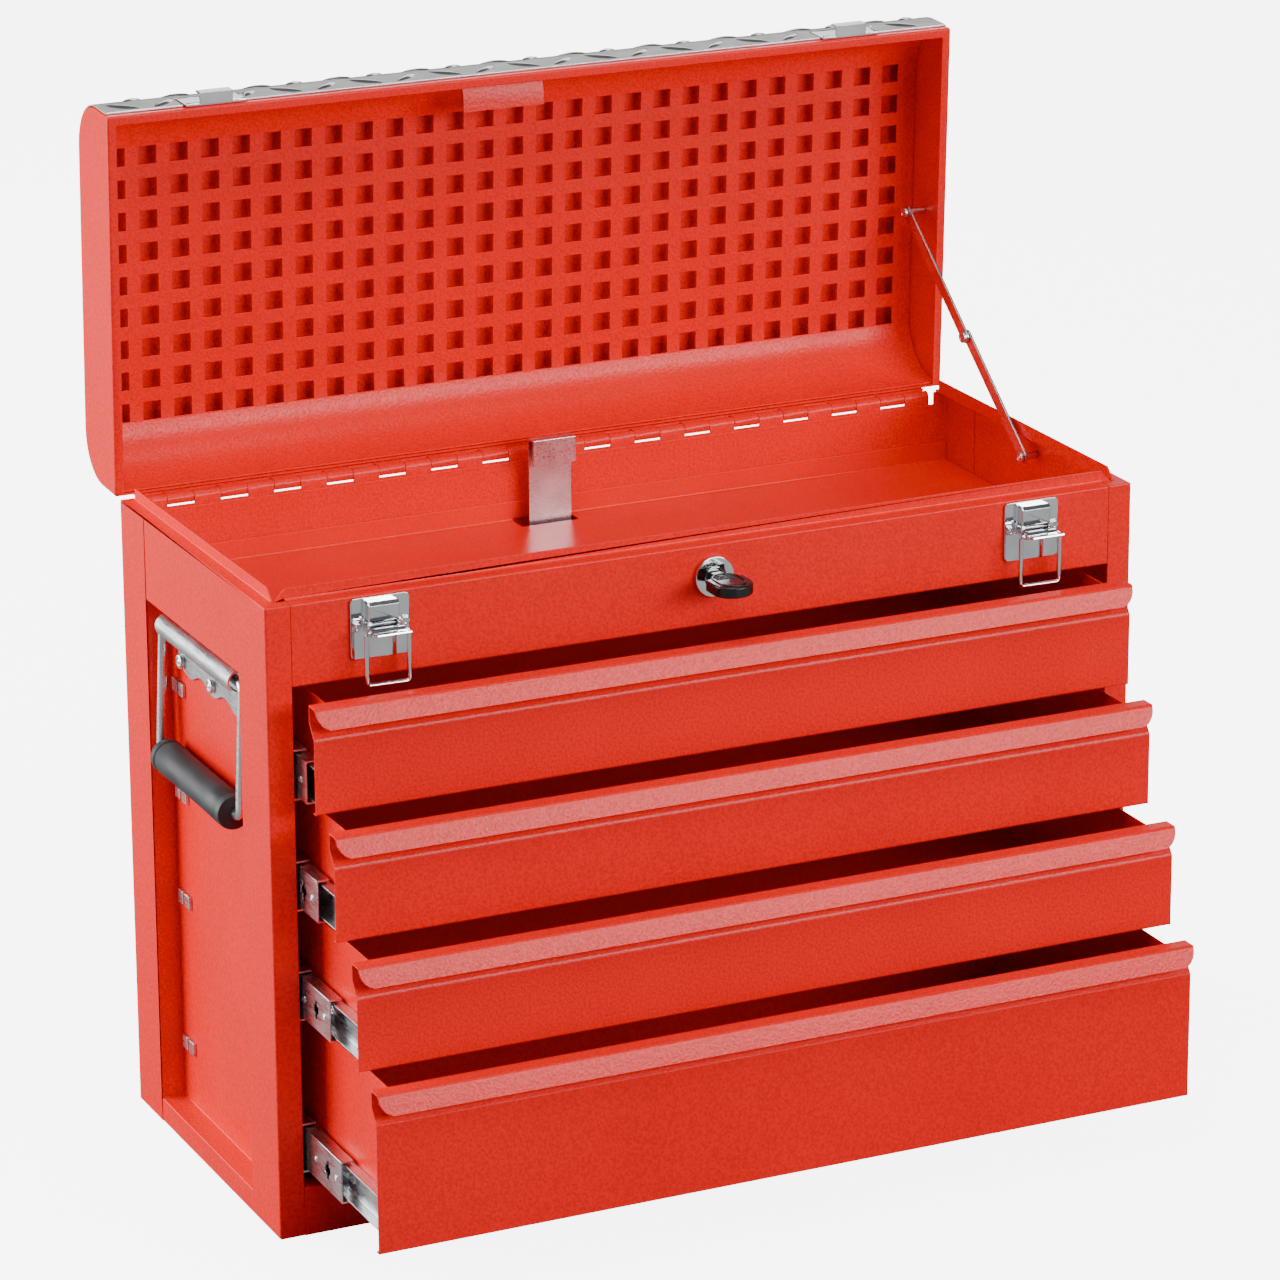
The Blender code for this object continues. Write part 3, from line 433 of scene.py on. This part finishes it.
coverSize = {
    "halfWidth": 291.5,
    "halfDepth": 122.5,  # front face of the lid from its middle
    "rim": 404.3,
    "height": 54.0,
    "bend": 30.0,
    "start": 5.0,  # front edge of the cover above the rim
    "top": 185.0,  # flat length behind the bend
    "skin": 1.5,
    "pitch": 27.0,
    "length": 23.0,
    "width": 7.0,
    "rise": 1.3,
    "slant": 38,  # degrees
    "rowsPerPitch": 1.5,
    "margin": 0.6,
    "sunk": -0.2,
    "strike": (220, 22.5, 20),  # middle, half width and reach of the bare patch under a strike
}


def placeOnCover(along, lift):
    # closed-lid (y, z) in millimetres that far along the cover from its front edge: up the front,
    # round the quarter-circle bend, then back over the top, and lift off the surface
    front, top, bend = coverSize["halfDepth"], coverSize["height"], coverSize["bend"]
    rise = top - bend - coverSize["start"]
    angle = np.pi - np.clip((along - rise) / bend, 0, np.pi / 2)
    reach = bend + coverSize["skin"] + lift
    back = np.maximum(along - rise - bend * np.pi / 2, 0)
    y = bend - front + reach * np.cos(angle) + back
    z = coverSize["rim"] + top - bend + reach * np.sin(angle) + np.minimum(along - rise, 0)
    return y, z


def openLid(x, y, z):
    # a closed-lid point turned about the hinge pin to where the lid stands at rest, in metres
    turn = math.radians(hingeSize["open"])
    pinY, pinZ = hingeSize["pinY"] * mm, hingeSize["pinZ"] * mm
    dy, dz = y * mm - pinY, z * mm - pinZ
    return np.stack(
        [
            x * mm,
            pinY + dy * math.cos(turn) + dz * math.sin(turn),
            pinZ + dz * math.cos(turn) - dy * math.sin(turn),
        ],
        axis=-1,
    )


def lozenges():
    # raised lozenges in two slanted directions over the whole cover: along a lozenge t goes from 0
    # to 1, its half width is sin(pi t) ** 0.8 and its crest sin(pi t) ** 0.6, both scaled
    rise = coverSize["height"] - coverSize["bend"] - coverSize["start"]
    total = rise + coverSize["bend"] * np.pi / 2 + coverSize["top"]
    pitch, halfWidth = coverSize["pitch"], coverSize["halfWidth"]
    rows, columns = int(total / pitch * coverSize["rowsPerPitch"]), int(2 * halfWidth / pitch)
    steps = 9
    row, column, t, k = np.meshgrid(
        np.arange(rows), np.arange(columns), np.linspace(0, 1, steps), np.arange(5), indexing="ij"
    )
    across = np.array([-1, -0.55, 0, 0.55, 1])[k]
    lift = np.array([-0.1, 0.72, 1, 0.72, -0.1])[k]
    slant = np.radians(np.where((row + column) % 2, 1, -1) * coverSize["slant"])
    swell = np.maximum(np.sin(np.pi * t), 0)
    run = (t - 0.5) * coverSize["length"]
    side = across * coverSize["width"] / 2 * swell**0.8
    x = (column - (columns - 1) / 2) * pitch + np.where(row % 2, pitch / 4, -pitch / 4)
    x = np.clip(x + run * np.cos(slant) - side * np.sin(slant), 1 - halfWidth, halfWidth - 1)
    along = (row + 0.5) * total / rows + run * np.sin(slant) + side * np.cos(slant)
    along = np.clip(along, coverSize["margin"], total - coverSize["margin"])
    height = np.where(lift > 0, lift * coverSize["rise"] * swell**0.6, lift)
    middle, half, reach = coverSize["strike"]
    underStrike = (abs(abs(x) - middle) < half) & (along < reach)
    height = np.where(underStrike, coverSize["sunk"], height)
    points = openLid(x, *placeOnCover(along, height)).reshape(-1, 3)
    faces = [
        face
        for one in range(rows * columns)
        for face in gridFaces(steps, 5, one * steps * 5)
    ]
    mesh = bpy.data.meshes.new("tread_lozenges")
    mesh.from_pydata(points.tolist(), [], faces)
    mesh.shade_smooth()
    # the lozenges take the near-white metal: wear on their crests, with a painted highlight on them
    return addPiece("tread_lozenges", mesh, lozengeWearAndHighlight, "lid")


lozenges()
# the paint bead in the corner between the lid and its hinge leaf, which closes the gap there
back, up = hingeSize["beadPlace"]
beadPlace = Vector(openLid(0.0, hingeSize["pinY"] + back, hingeSize["pinZ"] + up))
half, radius = hingeSize["beadHalf"], hingeSize["bead"]
bar("lid_hinge_bead", beadPlace, (1, 0, 0), half, radius, redPaint, "lid")
print("lid made")

slideSize = {
    "screws": (11, 60, 120),  # behind the front end of the inner member
    "screw": 3.4,
    "proud": 0.9,
    "studs": (8, 40),  # behind the front end of the middle member
    "stud": 2.2,
}
for k in range(1, 5):
    for side in ("left", "right"):
        finished(f"slide_outer_{side}_{k}", zinc, 0.7, 0.2)
        finished(f"slide_middle_{side}_{k}", zinc, 0.7, 0.2)
        finished(f"slide_inner_{side}_{k}", zinc, 0.7, 0.2)
        sign = -1 if side == "left" else 1
        low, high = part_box(f"slide_inner_{side}_{k}")
        web = high.x if side == "left" else low.x
        height = (low.z + high.z) / 2
        # the screws that hold the inner member to the drawer, and the studs on the middle one
        radius, body = slideSize["screw"], f"drawer_{k}"
        for number, back in enumerate(slideSize["screws"]):
            place = (web + sign * slideSize["proud"] * mm, low.y + back * mm, height)
            rivet(f"slide_screw_{side}_{k}_{number}", place, (sign, 0, 0), radius, zinc, body)
        low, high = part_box(f"slide_middle_{side}_{k}")
        outer = low.x if side == "left" else high.x
        radius, body = slideSize["stud"], f"slides_{k}"
        for number, back in enumerate(slideSize["studs"]):
            place = (outer, low.y + back * mm, height)
            rivet(f"slide_stud_{side}_{k}_{number}", place, (sign, 0, 0), radius, zinc, body)
print("slides made")

latchSize = {
    "middle": 220,
    "apart": 15.6,  # each rivet from the middle of its latch
    "front": -125.6,
    "height": 385,
    "rivet": 2.4,
    "flatness": 0.14,
}
for side in ("left", "right"):
    sign = -1 if side == "left" else 1
    finished(f"{side}_strike", chrome, 1.2, 0.3)
    finished(f"{side}_latch_plate", chrome, 0.9, 0.35)
    finished(f"{side}_latch_lever", chrome, 0.5, 0.25, 30)
    finished(f"{side}_latch_bail", chrome, 0.2, 0.1, 70)
    for end in (-1, 1):
        x = sign * latchSize["middle"] + end * latchSize["apart"]
        place = (x * mm, latchSize["front"] * mm, latchSize["height"] * mm)
        radius, flat = latchSize["rivet"], latchSize["flatness"]
        rivet(f"{side}_latch_rivet_{end + 1}", place, (0, -1, 0), radius, chrome, "casing", flat)
finished("lock_housing", chrome, 0.8, 0.6, 30)
finished("lock_plug", chrome, 0.6, 0.4, 30)
finished("key", plastic, 1.4, 1.2, 30)

keySize = {
    "ribs": 3,
    "firstRib": 11.0,  # from the lock end of the key
    "ribPitch": 2.2,
    "ribHalf": 6.5,
    "rib": 0.55,
    "frame": 0.7,
    "frameHalf": 8.6,
    "frameLength": 16.0,
    "frameInset": 4.4,  # from the tip of the head
}


def keyFrame(name, z):
    # a bead round the head: a circle of radius frame carried along a stadium of two half circles
    low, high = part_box("key")
    reach = keySize["frameHalf"] * mm
    straight = keySize["frameLength"] * mm - reach
    turn = np.linspace(0, 2 * np.pi, 40, endpoint=False)
    out = np.stack([np.cos(turn), np.sin(turn)], axis=1)
    tip = low.y + keySize["frameInset"] * mm + reach
    path = out * reach + np.stack([turn * 0, tip + np.where(out[:, 1] > 0, straight, 0)], axis=1)
    around = np.linspace(0, 2 * np.pi, 8, endpoint=False)
    swell = keySize["frame"] * mm * np.cos(around)[None, :, None]
    flat = path[:, None, :] + out[:, None, :] * swell
    rise = np.broadcast_to(z + keySize["frame"] * mm * np.sin(around), (40, 8))
    points = np.concatenate([flat, rise[:, :, None]], axis=2).reshape(-1, 3)
    quads = np.array(gridFaces(41, 8, around=True)) % len(points)
    mesh = bpy.data.meshes.new(name)
    mesh.from_pydata(points.tolist(), [], quads.tolist())
    mesh.shade_smooth()
    turnOutwards(mesh)
    return addPiece(name, mesh, plastic, bodyOf["key"])


low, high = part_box("key")
for side, z in (("upper", high.z), ("lower", low.z)):
    keyFrame(f"key_{side}_frame", z)
    for number in range(keySize["ribs"]):
        place = (0, high.y - (keySize["firstRib"] + number * keySize["ribPitch"]) * mm, z)
        half, radius = keySize["ribHalf"], keySize["rib"]
        bar(f"key_{side}_rib_{number}", place, (1, 0, 0), half, radius, plastic, bodyOf["key"])
finished("locking_bar", zinc, 1.6, 0.3)
print("latches, lock and key made")

for node in ("stay_lower_link", "stay_upper_link"):
    finished(node, zinc, 0.4, 0.3, 40)
# body, place in metres and radius in millimetres of each pin head on the stay
stayHeads = {
    "stay_lower_pin_head": ("stay_lower", (0.2785, -0.004, 0.391), 3.6),
    "stay_upper_pin_head": ("stay_upper", (0.2767, 0.1553443, 0.5185795), 3.6),
    "stay_elbow_head": ("stay_upper", (0.2772, 0.07328, 0.45288), 4.0),
}
for name, (body, place, radius) in stayHeads.items():
    rivet(name, place, (-1, 0, 0), radius, zinc, body)

# the grip's half outline as (along, radius), with a groove near each end
gripProfile = [
    (-59.0, 4.2),
    (-59.0, 9.0),
    (-58.2, 10.6),
    (-56.5, 11.0),
    (-52.5, 11.0),
    (-51.6, 10.2),
    (-50.6, 10.2),
    (-49.6, 11.0),
    (-30.0, 10.7),
    (0.0, 10.6),
    (30.0, 10.7),
    (49.6, 11.0),
    (50.6, 10.2),
    (51.6, 10.2),
    (52.5, 11.0),
    (56.5, 11.0),
    (58.2, 10.6),
    (59.0, 9.0),
    (59.0, 4.2),
]
handleSize = {
    "out": 280.8,  # face of the bracket from the middle of the chest
    "middle": 3,
    "height": 316,
    "rivets": (-52, 0, 52),
    "rivet": 4.6,
}
for side in ("left", "right"):
    sign = -1 if side == "left" else 1
    finished(f"{side}_handle_bracket", zinc, 0.8, 0.3)
    finished(f"{side}_handle_bail", zinc, 0.3, 0.2, 70)
    low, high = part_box(f"{side}_handle_grip")
    middle = (low + high) / 2
    grip = lathe(f"{side}_grip", gripProfile, middle, (0, 1, 0), rubber, f"{side}_handle", 40)
    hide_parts(f"{side}_handle_grip")
    for number, back in enumerate(handleSize["rivets"]):
        y = (handleSize["middle"] + back) * mm
        place = (sign * handleSize["out"] * mm, y, handleSize["height"] * mm)
        radius = handleSize["rivet"]
        rivet(f"{side}_handle_rivet_{number}", place, (sign, 0, 0), radius, zinc, "casing")
print("handles made")


def plainStage():
    # a matt pale floor far wider than the view
    material, tree, shader = newMaterial("studio_floor")
    shader.inputs["Roughness"].default_value = 0.95
    # the camera sees a bright sweep, and the object is lit by a quieter one
    seen = addNode(tree, "ShaderNodeLightPath").outputs["Is Camera Ray"]
    paper = rampOf(tree, seen, [(0.0, hexColour("#8C8C8C")), (1.0, hexColour("#F6F6F6"))])
    tree.links.new(paper, shader.inputs["Base Color"])
    glow = addNode(tree, "ShaderNodeMath", {"Value": seen}, operation="MULTIPLY")
    glow.inputs[1].default_value = 6.0
    shader.inputs["Emission Color"].default_value = (1, 1, 1, 1)
    tree.links.new(glow.outputs["Value"], shader.inputs["Emission Strength"])
    mesh = bpy.data.meshes.new("studio_floor")
    mesh.from_pydata([(-20, -20, 0), (20, -20, 0), (20, 20, 0), (-20, 20, 0)], [], [(0, 1, 2, 3)])
    floor = bpy.data.objects.new("studio_floor", mesh)
    floor.data.materials.append(material)
    bpy.context.scene.collection.objects.link(floor)


def softLight(name, place, target, size, power):
    # a rectangular soft box at a place, facing a target, in metres and watts
    lamp = bpy.data.lights.new(name, "AREA")
    lamp.shape = "RECTANGLE"
    lamp.size, lamp.size_y = size
    lamp.energy = power
    holder = bpy.data.objects.new(name, lamp)
    holder.location = place
    way = Vector(target) - Vector(place)
    holder.rotation_euler = way.to_track_quat("-Z", "Y").to_euler()
    bpy.context.scene.collection.objects.link(holder)


plainStage()
lights = {
    "front_box": ((1.5, -2.9, 1.35), (0, -0.1, 0.25), (2.4, 1.0), 98),
    "left_box": ((-2.6, 1.5, 1.0), (0, 0, 0.25), (2.4, 2.0), 185),
    "back_box": ((1.6, 3.0, 2.0), (0, 0.1, 0.6), (2.4, 1.4), 16),
    "top_box": ((-0.4, -1.0, 3.0), (0, 0, 0.3), (2.2, 1.6), 50),
}
for name, (place, target, size, power) in lights.items():
    softLight(name, place, target, size, power)
world = bpy.data.worlds.new("studio")
world.use_nodes = True
world.node_tree.nodes["Background"].inputs["Color"].default_value = (1, 1, 1, 1)
world.node_tree.nodes["Background"].inputs["Strength"].default_value = 0.12
bpy.context.scene.world = world

# a long lens from the front left, a little above the chest
eye = bpy.data.cameras.new("main_camera")
eye.lens = 155.996
eye.sensor_width = 36
eye.shift_x = 0.01625
eye.shift_y = -0.07695
eye.clip_start = 0.05
camera = bpy.data.objects.new("main_camera", eye)
camera.location = (-1.40546, -3.01552, 1.40897)
camera.rotation_euler = Euler((1.268355, 0.005655, -0.436276), "XYZ")
bpy.context.scene.collection.objects.link(camera)
bpy.context.scene.camera = camera
print("stage made")
